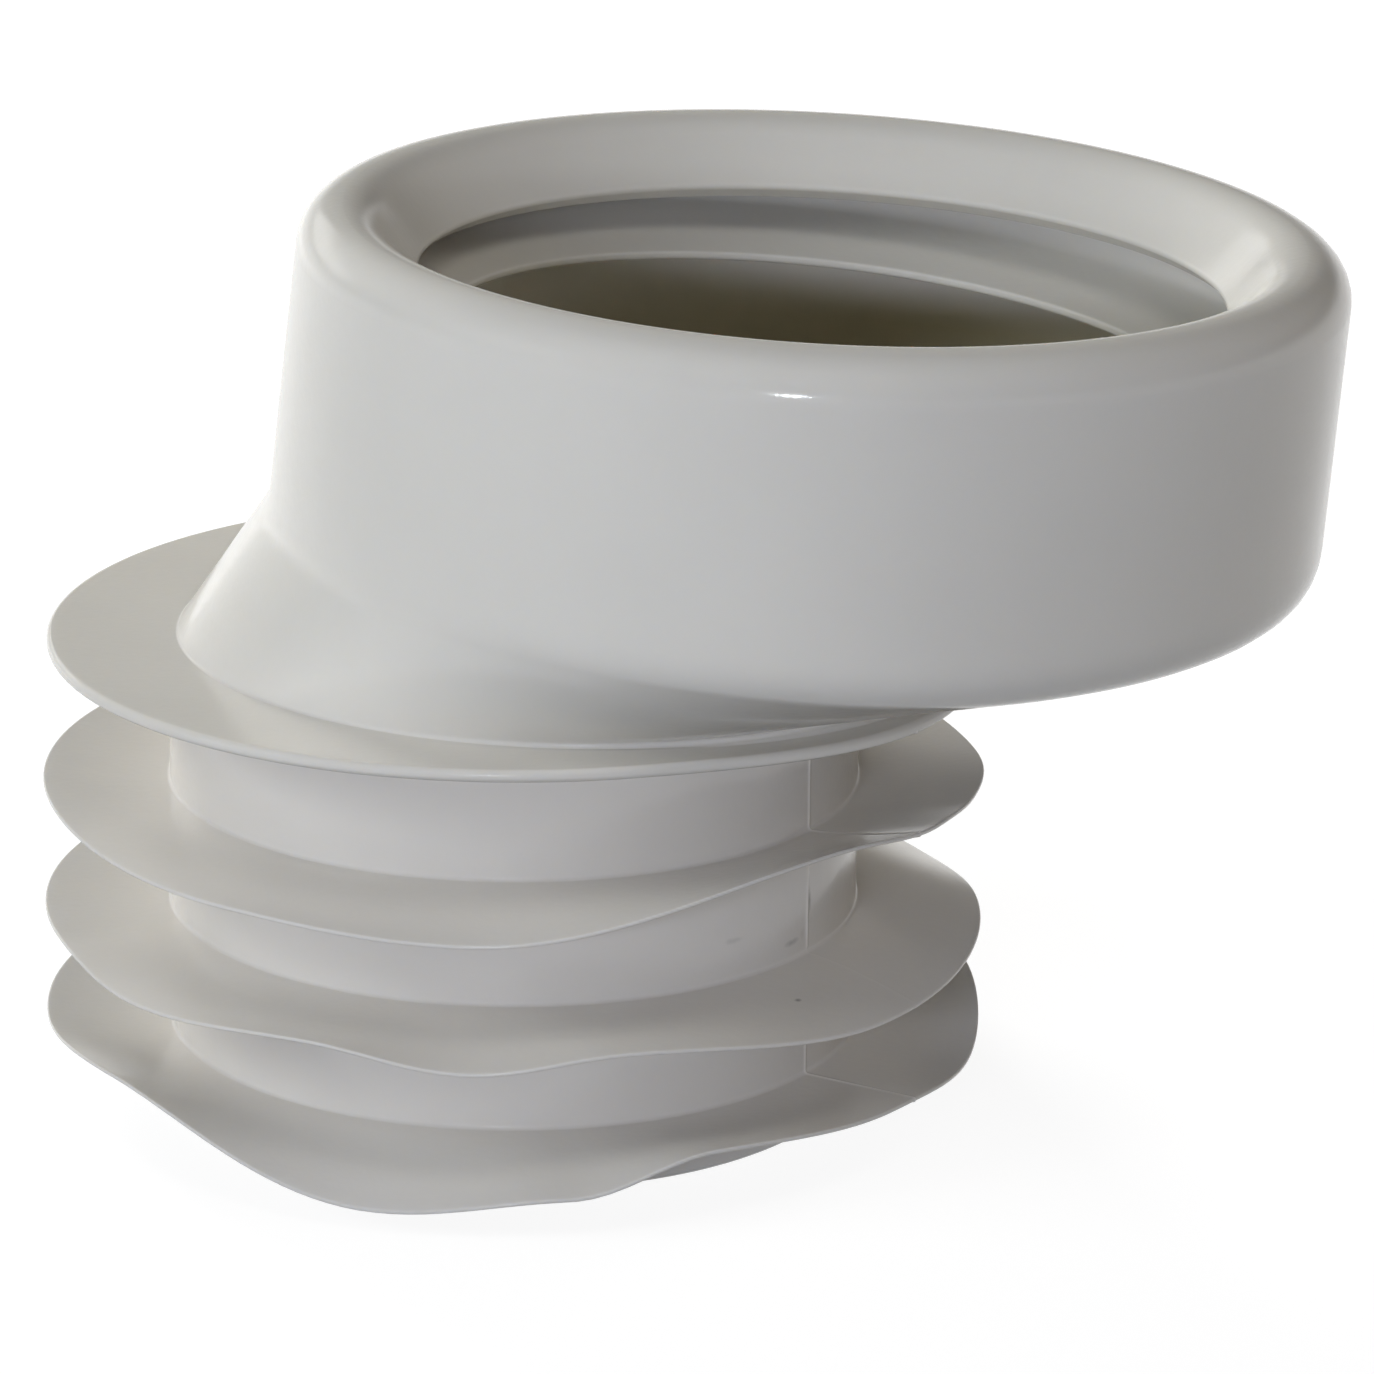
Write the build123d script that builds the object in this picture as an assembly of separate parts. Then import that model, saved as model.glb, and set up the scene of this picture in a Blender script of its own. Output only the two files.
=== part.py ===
from build123d import *
import os
from math import cos, pi, radians, sin, tan

# Offset toilet pan connector, moulded in one piece from soft plastic.
# It stands on the end of its outlet spigot. The origin is the centre of that end,
# +Z is up along the spigot and +X is the way the inlet cup is set over.
# Lengths are in millimetres and angles in degrees.

# Outlet spigot
spigot_radius = 42.0
spigot_wall = 3.0
end_round = 0.8

# Thin sealing fins, counted from the bottom
fin_radius = 57.4
fin_first_height = 7.9
fin_pitch = 15.5
fin_root_thickness = 1.2
fin_tip_thickness = 0.5
fin_bend = 1.5

# Crests and troughs of each fin's wavy edge: (angle about the spigot, lift at the tip)
fin_waves = [
    [
        (-175, 1.5), (-145, 3.1), (-105, -4.9), (-82, -2.8), (-64, 1.5),
        (-36, 0.2), (-15, -1.0), (14, 2.8), (60, 0),
    ],
    [
        (-162, -0.2), (-140, -1.9), (-114, -0.5), (-94, -2.8), (-75, -0.7),
        (-39, -3.6), (4, -2.2), (28, -3.6), (90, -1),
    ],
    [
        (-172, 0.2), (-126, -1.5), (-94, -2.6), (-47, 4.2), (-26, 2.3),
        (-14, 1.8), (18, 0), (90, 0),
    ],
]

# Collar between the spigot and the neck: it is thicker than the fins and dips under the cup's overhang
collar_setback = 0.7
collar_height = 57.1
collar_root_thickness = 2.4
collar_tip_thickness = 1.5
collar_wave = [(-75, 0.2), (-20, -2.4), (60, 0)]

# Foot of the neck on the collar
foot_radius = 47.6
foot_shift = 6.7

# Inlet cup: it is set over by the offset and leans a little out of square
cup_offset = 37.0
cup_height = 108.0
cup_lean = 2.4
cup_wall = 3.0
wall_depth = 40.5
wall_flare = 0.5
wall_drift = 1.8
bottom_round = 6.0

# Rim rolled inwards into the first sealing lip, which grips the pan's outlet
lip_radius = 48.2
lip_reach = 14.9
rim_round = 5.5
lip_slope = 48.0
lip_land = 1.9
lip_edge_round = 0.6

# Thin second sealing lip below the first
inner_lip_step = 2.9
inner_lip_gap = 6.4
inner_lip_rise = 4.0
inner_lip_tilt = 2.9
inner_lip_thickness = 1.2

# Derived sizes
collar_radius = fin_radius - collar_setback
cup_radius = lip_radius + lip_reach
inner_lip_radius = lip_radius - inner_lip_step
bore_radius = spigot_radius - spigot_wall
wall_inside = cup_radius - cup_wall
crown_radius = cup_radius - rim_round
roll_inside = rim_round - cup_wall
bore_top = collar_height - collar_root_thickness
root_inside = spigot_radius - spigot_wall / 2

# The cup's own frame: its Z is the cup's axis, upwards, and depths are measured down from the crown
cup = Plane(
    origin=(cup_offset, 0, cup_height),
    x_dir=(cos(radians(cup_lean)), 0, -sin(radians(cup_lean))),
    z_dir=(sin(radians(cup_lean)), 0, cos(radians(cup_lean))),
)


def disc(left, right):
    """Round face whose diameter runs from left to right in the plane of symmetry."""
    start = Vector(left[0], 0, left[1])
    end = Vector(right[0], 0, right[1])
    across = end - start
    plane = Plane(origin=(start + end) * 0.5, x_dir=across, z_dir=across.cross(Vector(0, 1, 0)))
    return plane * Circle(across.length / 2)


def cup_point(x, depth):
    """World (x, z) of a point in the plane of symmetry of the cup's frame."""
    point = cup.from_local_coords(Vector(x, 0, -depth))
    return (point.X, point.Z)


def tilted_disc(radius, depth, drift, tilt):
    """Round face in the cup, its centre moved by drift towards the spigot and its right side dipped."""
    across = radius * cos(radians(tilt))
    dip = radius * sin(radians(tilt))
    return disc(cup_point(-across - drift, depth - dip), cup_point(across - drift, depth + dip))


def down_wall(depth):
    """Share of the way down the cup's wall, from the rim's roll to its lower edge."""
    return (depth - rim_round) / (wall_depth - rim_round)


def wall_right(depth, radius=cup_radius):
    """Point on the right-hand side of the cup's wall at this depth."""
    return cup_point(radius + (wall_flare - wall_drift) * down_wall(depth), depth)


def wall_left(depth, radius=cup_radius):
    """Point on the left-hand side of the cup's wall at this depth."""
    return cup_point(-radius - (wall_flare + wall_drift) * down_wall(depth), depth)


def turned(profile, plane):
    """Solid of revolution from a closed outline of radius and height, about the plane's Z axis."""
    outline = Plane(origin=plane.origin, x_dir=plane.x_dir, z_dir=-plane.y_dir) * profile
    return revolve(outline, Axis(plane.origin, plane.z_dir), 360)


def lift(wave, angle):
    """Height of a soft disc's edge at an angle: half a cosine from each crest to the next trough."""
    turns = (angle - wave[0][0]) // 360
    angle = angle - 360 * turns
    for (a0, h0), (a1, h1) in zip(wave, wave[1:] + [(wave[0][0] + 360, wave[0][1])]):
        if angle <= a1:
            return h0 + (h1 - h0) * (1 - cos(pi * (angle - a0) / (a1 - a0))) / 2
    return wave[0][1]


def wavy_ring(radius, height, wave, tip_radius):
    """Closed wavy line round a soft disc. The bending grows from the root to the tip."""
    reach = max(0.0, (radius - spigot_radius) / (tip_radius - spigot_radius))
    points = []
    for angle in range(0, 360, 10):
        a = radians(angle)
        rise = lift(wave, angle) * reach**fin_bend
        points.append((radius * cos(a), radius * sin(a), height + rise))
    return Wire([Edge.make_spline([Vector(*p) for p in points], periodic=True)])


def wavy_disc(tip_radius, height, root_thickness, tip_thickness, wave):
    """Soft disc round the spigot: two skins, nearer at the tip, closed at the tip and the root."""
    span = tip_radius - spigot_radius
    radii = [root_inside] + [spigot_radius + span * share for share in (0, 0.3, 0.65, 1)]
    upper = []
    lower = []
    for radius in radii:
        reach = max(0.0, (radius - spigot_radius) / span)
        thickness = root_thickness + (tip_thickness - root_thickness) * reach
        upper.append(wavy_ring(radius, height, wave, tip_radius))
        lower.append(wavy_ring(radius, height - thickness, wave, tip_radius))
    skins = [Shell.make_loft(upper), Shell.make_loft(lower)]
    ends = [Shell.make_loft([upper[i], lower[i]], ruled=True) for i in (0, -1)]
    faces = [face for shell in skins + ends for face in shell.faces()]
    return Solid(Shell(faces))


# Spigot tube and collar
spigot_top = collar_height - collar_root_thickness / 2
spigot = Cylinder(spigot_radius, spigot_top, align=(Align.CENTER, Align.CENTER, Align.MIN))
spigot = fillet(spigot.edges().sort_by(Axis.Z)[0], end_round)
collar = wavy_disc(
    collar_radius, collar_height, collar_root_thickness, collar_tip_thickness, collar_wave
)
collar_edges = collar.edges().filter_by(lambda e: e.bounding_box().max.X > collar_radius - 0.01)
collar = fillet(collar_edges.sort_by(Edge.length)[-2:], collar_tip_thickness * 0.4)

# Outside of the cup's wall and of the neck: a round face at each level, hung between two side profiles.
# On the right the wall turns under through an arc; on the left it runs out in a straight slope.
foot_left = (foot_shift - foot_radius, collar_height)
foot_right = (foot_shift + foot_radius, collar_height)
low_right = wall_right(wall_depth)
low_left = wall_left(wall_depth)
under_slope = (low_right[1] - foot_right[1]) / (low_right[0] - foot_right[0])
side_slope = (low_left[0] - foot_left[0]) / (low_left[1] - foot_left[1])
arc_start = wall_right(wall_depth - bottom_round)
arc_end = (low_right[0] - bottom_round, low_right[1] - bottom_round * under_slope)
left_start = wall_left(wall_depth - bottom_round / 2)
left_end = (low_left[0] - side_slope * bottom_round / 2, low_left[1] - bottom_round / 2)


def blend(start, corner, end, share):
    """Point on the curve that leaves start towards the corner and arrives at end from it."""
    a = (1 - share) ** 2
    b = 2 * share * (1 - share)
    c = share**2
    return (a * start[0] + b * corner[0] + c * end[0], a * start[1] + b * corner[1] + c * end[1])


turn = []
for step in range(5):
    share = step / 4
    turn_left = blend(left_start, low_left, left_end, share)
    turn_right = blend(arc_start, low_right, arc_end, share)
    turn.append(disc(turn_left, turn_right))
wall_top = disc(wall_left(rim_round), wall_right(rim_round))
wall = loft([wall_top, turn[0]], ruled=True)
corner = loft(turn)
foot = disc(foot_left, foot_right)
neck = loft([turn[-1], foot], ruled=True)
throat = loft([foot, Pos(0, 0, bore_top) * Circle(root_inside)], ruled=True)

# Hollow: bore of the spigot, the sloping way through the neck, and the inside of the cup
bore = Cylinder(bore_radius, bore_top, align=(Align.CENTER, Align.CENTER, Align.MIN))
floor_right = wall_right(wall_depth - cup_wall - bottom_round / 4, wall_inside)
floor = disc(wall_left(wall_depth, wall_inside), floor_right)
way = loft([Pos(0, 0, bore_top) * Circle(bore_radius), floor], ruled=True)
inside_top = disc(wall_left(rim_round, wall_inside), wall_right(rim_round, wall_inside))
inside = loft([floor, inside_top], ruled=True)

# Rim and first lip: an even thickness of material rolled over and turned inwards
a = radians(lip_slope)
roll = (crown_radius, -rim_round)
lip_top = (roll[0] - rim_round * sin(a), roll[1] + rim_round * cos(a))
under_top = (roll[0] - roll_inside * sin(a), roll[1] + roll_inside * cos(a))
land_top = (lip_radius, lip_top[1] - (lip_top[0] - lip_radius) * tan(a))
lip_depth = lip_land - land_top[1]
under_end = (under_top[0] - (under_top[1] + lip_depth) / tan(a), -lip_depth)
rim_outline = make_face(
    [
        ThreePointArc(
            (cup_radius, -rim_round),
            (roll[0] + rim_round * sin(a / 8), roll[1] + rim_round * cos(a / 8)),
            lip_top,
        ),
        Line(lip_top, land_top),
        Line(land_top, (lip_radius, -lip_depth)),
        Line((lip_radius, -lip_depth), under_end),
        Line(under_end, under_top),
        ThreePointArc(
            under_top,
            (roll[0] + roll_inside * sin(a / 8), roll[1] + roll_inside * cos(a / 8)),
            (wall_inside, -rim_round),
        ),
        Line((wall_inside, -rim_round), (cup_radius, -rim_round)),
    ]
)
lip_corners = rim_outline.vertices().filter_by(lambda v: v.X < under_end[0] + 0.01)
rim_outline = fillet(lip_corners, lip_edge_round)
rim = turned(rim_outline, cup)

# Second lip: a thin funnel from the cup's wall to its free edge, which is tilted a little in the cup
inner_lip_depth = lip_depth + inner_lip_gap
root_depth = inner_lip_depth - inner_lip_rise
free_edge = tilted_disc(inner_lip_radius, inner_lip_depth, 0, inner_lip_tilt)
root_drift = wall_drift * down_wall(root_depth)
root = tilted_disc(wall_inside + cup_wall / 3, root_depth, root_drift, inner_lip_tilt)
funnel = loft([free_edge, root], ruled=True)
drop = cup.z_dir * -inner_lip_thickness
mouth = extrude(free_edge, -3 * inner_lip_thickness)
inner_lip = Pos(drop) * funnel - funnel - mouth

body = throat + neck + corner + wall
body = body + spigot + collar
body = body - bore - way - inside
body = body + rim + inner_lip
for number, wave in enumerate(fin_waves):
    height = fin_first_height + number * fin_pitch
    body = body + wavy_disc(fin_radius, height, fin_root_thickness, fin_tip_thickness, wave)

os.makedirs("parts", exist_ok=True)
body.label = "pan_connector"
export_step(body, "parts/pan_connector.step")
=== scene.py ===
"""Looks of an offset toilet pan connector: one soft plastic moulding on a pale floor.

The moulding is one closed skin. Its section is a loop of corners, each with a left and a right
point in the plane of symmetry. Round rings are hung between the two points all along the loop, so
the skin is a function of the place along the section and the angle round it. Sizes are in
millimetres until the mesh is made.
"""

from __future__ import annotations

import logging
from collections.abc import Callable
from dataclasses import dataclass, field
from enum import Enum
from functools import partial

import bpy
import numpy as np
from mathutils import Matrix, Vector

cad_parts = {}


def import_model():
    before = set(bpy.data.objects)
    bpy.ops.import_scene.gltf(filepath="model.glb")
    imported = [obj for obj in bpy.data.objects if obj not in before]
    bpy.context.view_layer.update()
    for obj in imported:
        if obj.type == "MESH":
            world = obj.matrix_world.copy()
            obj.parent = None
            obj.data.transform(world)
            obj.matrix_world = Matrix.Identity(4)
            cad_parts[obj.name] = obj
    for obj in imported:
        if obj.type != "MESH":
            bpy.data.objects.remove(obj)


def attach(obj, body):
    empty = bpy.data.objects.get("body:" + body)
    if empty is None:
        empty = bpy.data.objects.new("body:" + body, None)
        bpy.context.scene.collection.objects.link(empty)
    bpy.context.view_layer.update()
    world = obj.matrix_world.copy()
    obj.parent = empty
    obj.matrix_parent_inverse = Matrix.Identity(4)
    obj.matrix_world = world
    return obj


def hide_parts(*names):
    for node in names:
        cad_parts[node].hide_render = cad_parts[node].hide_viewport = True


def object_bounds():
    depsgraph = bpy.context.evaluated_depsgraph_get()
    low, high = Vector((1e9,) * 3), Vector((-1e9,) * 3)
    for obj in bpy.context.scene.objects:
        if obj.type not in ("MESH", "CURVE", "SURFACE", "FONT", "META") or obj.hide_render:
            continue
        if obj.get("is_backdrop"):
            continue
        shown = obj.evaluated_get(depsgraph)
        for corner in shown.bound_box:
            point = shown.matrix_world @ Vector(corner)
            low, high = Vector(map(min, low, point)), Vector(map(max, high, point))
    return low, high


log = logging.getLogger("pan_connector_scene")

METRES_PER_MM = 0.001
NO_DISC = -1
TOUCHING_MM = 1e-6
Point = tuple[float, float]
Colour = tuple[float, float, float]
Wave = tuple[Point, ...]
Tree = bpy.types.NodeTree
Socket = bpy.types.NodeSocket


@dataclass(frozen=True)
class Corner:
    """One corner of the section, on both sides of the plane of symmetry.

    Attributes:
        left: (x, z) of the corner on the left-hand side.
        right: (x, z) of the corner on the right-hand side.
        radius: radius of the arc that rounds the corner.
        cuts: how far from the corner an eased curve starts, left and right, where it isn't an arc.
        disc: number of the soft disc that the corner is on, or NO_DISC.
        run: number of the soft disc that the run to the next corner is on, or NO_DISC.
    """

    left: Point
    right: Point
    radius: float = 0.5
    cuts: Point | None = None
    disc: int = NO_DISC
    run: int = NO_DISC


def on_spigot(
    radius: float, height: float, rounding: float, disc: int = NO_DISC, run: int = NO_DISC
) -> Corner:
    """Corner of a ring about the spigot's axis."""
    return Corner((-radius, height), (radius, height), rounding, None, disc, run)


def rounded_loop(
    corners: np.ndarray, radii: np.ndarray, cuts: np.ndarray, steps: int, runs: np.ndarray
) -> np.ndarray:
    """Closed line through all corners with each of them rounded.

    A curve starts on one side of the corner at a cut, and ends at the same distance on the other
    side. Where a radius is given the cut is the radius times the tangent of half the turn and the
    curve is a true arc, as the conic with a weight of the cosine of half the turn. Where a cut is
    given the weight is one.

    Args:
        corners: (n, 2) corner points.
        radii: (n,) arc radii.
        cuts: (n,) given cuts, NaN where the radius holds.
        steps: spans in each curve.
        runs: shares along each straight run at which it gets points.

    Returns:
        (n * (steps + 1 + len(runs)), 2) points in order.
    """
    back = np.roll(corners, 1, axis=0) - corners
    ahead = np.roll(corners, -1, axis=0) - corners
    back = back / np.linalg.norm(back, axis=1, keepdims=True)
    ahead = ahead / np.linalg.norm(ahead, axis=1, keepdims=True)
    half_turn = (np.pi - np.arccos(np.clip(np.sum(back * ahead, axis=1), -1.0, 1.0))) / 2
    given = ~np.isnan(cuts)
    cut = np.where(given, cuts, radii * np.tan(half_turn))[:, None]
    weight = np.where(given, 1.0, np.cos(half_turn))[:, None, None]
    start = corners + back * cut
    end = corners + ahead * cut
    s = np.linspace(0.0, 1.0, steps + 1)[None, :, None]
    first, middle, last = (1 - s) ** 2, 2 * s * (1 - s) * weight, s**2
    curves = first * start[:, None] + middle * corners[:, None] + last * end[:, None]
    curves = curves / (first + middle + last)
    next_start = np.roll(start, -1, axis=0)
    lines = end[:, None] + (next_start - end)[:, None] * runs[None, :, None]
    return np.concatenate([curves, lines], axis=1).reshape(-1, 2)


def wave_height(wave: Wave, angle: np.ndarray) -> np.ndarray:
    """Height of a soft disc's edge: half a cosine from each crest to the next trough.

    Args:
        wave: (angle in degrees, height) of each crest and trough, in order round the disc.
        angle: angles in degrees.

    Returns:
        Heights at those angles.
    """
    knots = np.array(wave)
    knots = np.vstack([knots, knots[0] + (360.0, 0.0)])
    turned = (angle - knots[0, 0]) % 360.0 + knots[0, 0]
    span = np.clip(np.searchsorted(knots[:, 0], turned, side="right") - 1, 0, len(wave) - 1)
    share = (turned - knots[span, 0]) / (knots[span + 1, 0] - knots[span, 0])
    rise = knots[span + 1, 1] - knots[span, 1]
    return knots[span, 1] + rise * (1 - np.cos(np.pi * share)) / 2


def carried(tree: Tree, value: Socket, source: Point, target: Point) -> Socket:
    """Value carried from one range to another, held at the ends.

    Args:
        tree: the nodes of a material or of the world.
        value: the value.
        source: its two ends.
        target: what the ends become.

    Returns:
        The carried value.
    """
    carry = tree.nodes.new("ShaderNodeMapRange")
    carry.inputs["From Min"].default_value = source[0]
    carry.inputs["From Max"].default_value = source[1]
    carry.inputs["To Min"].default_value = target[0]
    carry.inputs["To Max"].default_value = target[1]
    tree.links.new(value, carry.inputs["Value"])
    return carry.outputs["Result"]


@dataclass(frozen=True)
class OutletSpigot:
    """The tube at the bottom with its thin wavy sealing fins.

    Attributes:
        radius: outside of the tube.
        wall: thickness of the tube.
        end_round: rounding of the tube's end, outside.
        bore_rounds: roundings of the bore's lower and upper end.
        fin_radius: radius of the fins' edges.
        fin_heights: upper sides of the fins at their roots, the lowest first.
        fin_root: thickness of a fin at the tube.
        fin_tip: thickness of a fin at its edge.
        tip_round: rounding of a fin's edge, as a share of its thickness there.
        root_round: rounding between a fin and the tube.
        waves: crests and troughs of each fin's edge, the lowest fin first.
    """

    radius: float = 42.0
    wall: float = 3.0
    end_round: float = 0.8
    bore_rounds: Point = (0.3, 2.0)
    fin_radius: float = 57.4
    fin_heights: tuple[float, ...] = (7.9, 23.4, 38.9)
    fin_root: float = 1.2
    fin_tip: float = 0.5
    tip_round: float = 0.42
    root_round: float = 0.45
    waves: tuple[Wave, ...] = (
        (
            (-175, 1.5), (-145, 3.1), (-105, -4.9), (-82, -2.8), (-64, 1.5),
            (-36, 0.2), (-15, -1), (14, 2.8), (60, 0),
        ),
        (
            (-162, -0.2), (-140, -1.9), (-114, -0.5), (-94, -2.8), (-75, -0.7),
            (-39, -3.6), (4, -2.2), (28, -3.6), (90, -1),
        ),
        (
            (-172, 0.2), (-126, -1.5), (-94, -2.6), (-47, 4.2), (-26, 2.3),
            (-14, 1.8), (18, 0), (90, 0),
        ),
    )

    def outside(self) -> list[Corner]:
        """Corners down the outside: each fin from the top one, then the tube's end."""
        corners = []
        for number in reversed(range(len(self.fin_heights))):
            top = self.fin_heights[number]
            edge = self.fin_tip * self.tip_round
            corners.append(on_spigot(self.radius, top, self.root_round, number, number))
            corners.append(on_spigot(self.fin_radius, top, edge, number, number))
            corners.append(on_spigot(self.fin_radius, top - self.fin_tip, edge, number, number))
            corners.append(on_spigot(self.radius, top - self.fin_root, self.root_round, number))
        corners.append(on_spigot(self.radius, 0.0, self.end_round))
        return corners

    def inside(self, bore_top: float) -> list[Corner]:
        """Corners up the bore, from the tube's end to this height."""
        bore = self.radius - self.wall
        ends = zip((0.0, bore_top), self.bore_rounds)
        return [on_spigot(bore, height, rounding) for height, rounding in ends]


@dataclass(frozen=True)
class Collar:
    """The thicker disc between the spigot and the neck, and the foot of the neck on it.

    It dips on the right, under the cup's overhang, and the neck there runs on inwards until it
    meets the dip.

    Attributes:
        radius: radius of the collar's edge.
        top: height of its upper side.
        root: thickness at the spigot.
        tip: thickness at the edge.
        tip_round: rounding of the edge, as a share of its thickness.
        wave: crests and troughs of the edge.
        foot_radius: radius of the ring in which the neck stands on the collar.
        foot_shift: how far that ring is set over towards the cup.
        foot_squash: share by which the ring is narrower from front to back.
        foot_round: rounding between the neck and the collar.
        throat_radius: radius that the neck would reach at the collar's underside.
        walk_steps: steps in which the meeting with the dip is looked for.
    """

    radius: float = 56.7
    top: float = 57.1
    root: float = 2.4
    tip: float = 1.5
    tip_round: float = 0.45
    wave: Wave = ((-75, 0.2), (-20, -2.4), (60, 0))
    foot_radius: float = 47.6
    foot_shift: float = 6.7
    foot_squash: float = 0.06
    foot_round: float = 0.55
    throat_radius: float = 40.5
    walk_steps: int = 240

    def outside(self, spigot_radius: float, root_round: float, number: int) -> list[Corner]:
        """Corners from the neck's foot out over the collar's edge and back to the spigot.

        Args:
            spigot_radius: radius of the tube below.
            root_round: rounding at the tube.
            number: the collar's number among the soft discs.

        Returns:
            The corners in order.
        """
        edge = self.tip * self.tip_round
        foot = (self.foot_shift - self.foot_radius, self.foot_shift + self.foot_radius)
        return [
            Corner((foot[0], self.top), (foot[1], self.top), self.foot_round, run=number),
            on_spigot(self.radius, self.top, edge, number, number),
            on_spigot(self.radius, self.top - self.tip, edge, number, number),
            on_spigot(spigot_radius, self.top - self.root, root_round, number),
        ]

    def drawn_in(
        self, angle: np.ndarray, dip: Callable[[np.ndarray, np.ndarray], np.ndarray]
    ) -> np.ndarray:
        """How far the neck's foot runs on inwards before it meets the dipping collar.

        The neck goes on in straight lines from its foot ring to a throat ring at the collar's
        underside. Each line is walked in small steps to the first one that is under the collar's
        top.

        Args:
            angle: angles round the foot ring, in radians.
            dip: lift of the collar's top at (x, y).

        Returns:
            (t, 3) steps from the foot ring to the meeting.
        """
        ring = np.stack([np.cos(angle), np.sin(angle), np.zeros_like(angle)], axis=-1)
        foot = ring * self.foot_radius + (self.foot_shift, 0.0, self.top)
        throat = ring * self.throat_radius + (0.0, 0.0, self.top - self.root)
        share = np.linspace(0.0, 1.0, self.walk_steps + 1)[:, None, None]
        walk = foot + (throat - foot) * share
        under = walk[..., 2] <= self.top + dip(walk[..., 0], walk[..., 1]) + TOUCHING_MM
        met = share[np.argmax(under, axis=0), 0, 0]
        return (throat - foot) * met[:, None]


@dataclass(frozen=True)
class InletCup:
    """The leaning cup at the top, its rolled rim and its two sealing lips.

    Attributes:
        offset: how far the cup's axis is set over at its crown.
        height: height of the crown.
        lean: degrees that the cup leans.
        radius: outside of the wall at the rim.
        wall: thickness of the wall.
        wall_depth: depth of the wall's lower edge below the crown, on the right.
        wall_rounds: roundings where the wall meets the rim's roll, outside and inside.
        crease_lift: how much higher the lower edge is on the left, where it creases.
        crease_fade: shares of the way from right to left between which that lift grows.
        flare: how much the wall widens on each side, from the rim to the lower edge.
        drift: how far the lower edge is moved to the left of the rim.
        bottom_round: how far from the lower edge its rounding starts, on the right.
        crease_share: share of that distance on the left.
        floor_share: share of the bottom's rounding by which the floor is raised on the right.
        floor_cuts: how far from the floor's edge its rounding starts, left and right.
        rim_round: radius of the rim's roll.
        roll_fill: share of the roll that its arcs take up, outside and inside.
        lip_radius: radius of the first lip's edge.
        lip_slope: degrees that the first lip slopes down.
        lip_land: thickness of the first lip's nose.
        lip_edge_round: rounding of that nose.
        inner_lip_radius: radius of the second lip's edge.
        inner_lip_gap: depth from the first lip's nose to the second lip's edge.
        inner_lip_rise: height of the second lip's root above its edge.
        inner_lip_tilt: degrees that the second lip is tilted in the cup.
        inner_lip_thickness: thickness of the second lip.
        inner_lip_rounds: roundings of its lower root, its lower and upper edge and its upper root.
    """

    offset: float = 37.0
    height: float = 108.0
    lean: float = 2.4
    radius: float = 63.1
    wall: float = 3.0
    wall_depth: float = 40.5
    wall_rounds: Point = (1.0, 0.5)
    crease_lift: float = 3.0
    crease_fade: Point = (0.25, 0.95)
    flare: float = 0.5
    drift: float = 1.8
    bottom_round: float = 5.4
    crease_share: float = 0.33
    floor_share: float = 0.25
    floor_cuts: Point = (3.0, 4.0)
    rim_round: float = 5.5
    roll_fill: Point = (0.985, 0.97)
    lip_radius: float = 48.2
    lip_slope: float = 48.0
    lip_land: float = 1.9
    lip_edge_round: float = 0.6
    inner_lip_radius: float = 45.3
    inner_lip_gap: float = 6.4
    inner_lip_rise: float = 4.0
    inner_lip_tilt: float = 2.9
    inner_lip_thickness: float = 1.2
    inner_lip_rounds: tuple[float, ...] = (0.8, 0.5, 0.4, 3.0)

    def at(self, x: float, depth: float) -> Point:
        """World (x, z) of a point in the cup's own frame, depths measured down from its crown."""
        a = np.radians(self.lean)
        return (
            float(self.offset + x * np.cos(a) - depth * np.sin(a)),
            float(self.height - x * np.sin(a) - depth * np.cos(a)),
        )

    def ring(self, radius: float, depth: float, rounding: float) -> Corner:
        """Corner of a ring about the cup's axis."""
        return Corner(self.at(-radius, depth), self.at(radius, depth), rounding)

    def down_wall(self, depth: float) -> float:
        """Share of the way down the wall, from the rim's roll to the lower edge."""
        return (depth - self.rim_round) / (self.wall_depth - self.rim_round)

    def wall_left(self, depth: float, radius: float) -> Point:
        """Point on the left of the wall."""
        return self.at(-radius - (self.flare + self.drift) * self.down_wall(depth), depth)

    def wall_right(self, depth: float, radius: float) -> Point:
        """Point on the right of the wall."""
        return self.at(radius + (self.flare - self.drift) * self.down_wall(depth), depth)

    def lip_corner_radius(self, roll: float) -> float:
        """Radius at which the crown's level line meets the lip's slope, for a roll of this radius."""
        return self.radius - self.rim_round - roll * np.tan(np.radians(self.lip_slope) / 2)

    def nose_depth(self) -> float:
        """Depth at which the sloping lip reaches its nose."""
        reach = self.lip_corner_radius(self.rim_round) - self.lip_radius
        return reach * np.tan(np.radians(self.lip_slope))

    def crease_rise(self, angle: np.ndarray) -> np.ndarray:
        """How far the crease lies above an even tilt from its right to its left point.

        The share of the way from right to left is half of one less the cosine of the angle. The
        lift grows between the two shares of the fade along a smooth curve: three times the square
        less twice the cube. The even tilt, which the section has already, is taken off.

        Args:
            angle: angles round the ring, in radians.

        Returns:
            (t,) heights, below nought where the crease is lower than the tilt.
        """
        way_left = (1.0 - np.cos(angle)) / 2
        start, end = self.crease_fade
        grown = np.clip((way_left - start) / (end - start), 0.0, 1.0)
        return self.crease_lift * (grown**2 * (3.0 - 2.0 * grown) - way_left)

    def outside(self) -> list[Corner]:
        """Corners from the first lip's nose over the rim and down to the lower edge of the wall."""
        roll = self.rim_round * self.roll_fill[0]
        left = self.wall_left(self.wall_depth - self.crease_lift, self.radius)
        right = self.wall_right(self.wall_depth, self.radius)
        return [
            self.ring(self.lip_radius, self.nose_depth(), self.lip_edge_round),
            self.ring(self.lip_corner_radius(self.rim_round), 0.0, roll),
            self.ring(self.radius, 0.0, roll),
            self.ring(self.radius, self.rim_round, self.wall_rounds[0]),
            Corner(left, right, cuts=(self.bottom_round * self.crease_share, self.bottom_round)),
        ]

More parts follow.
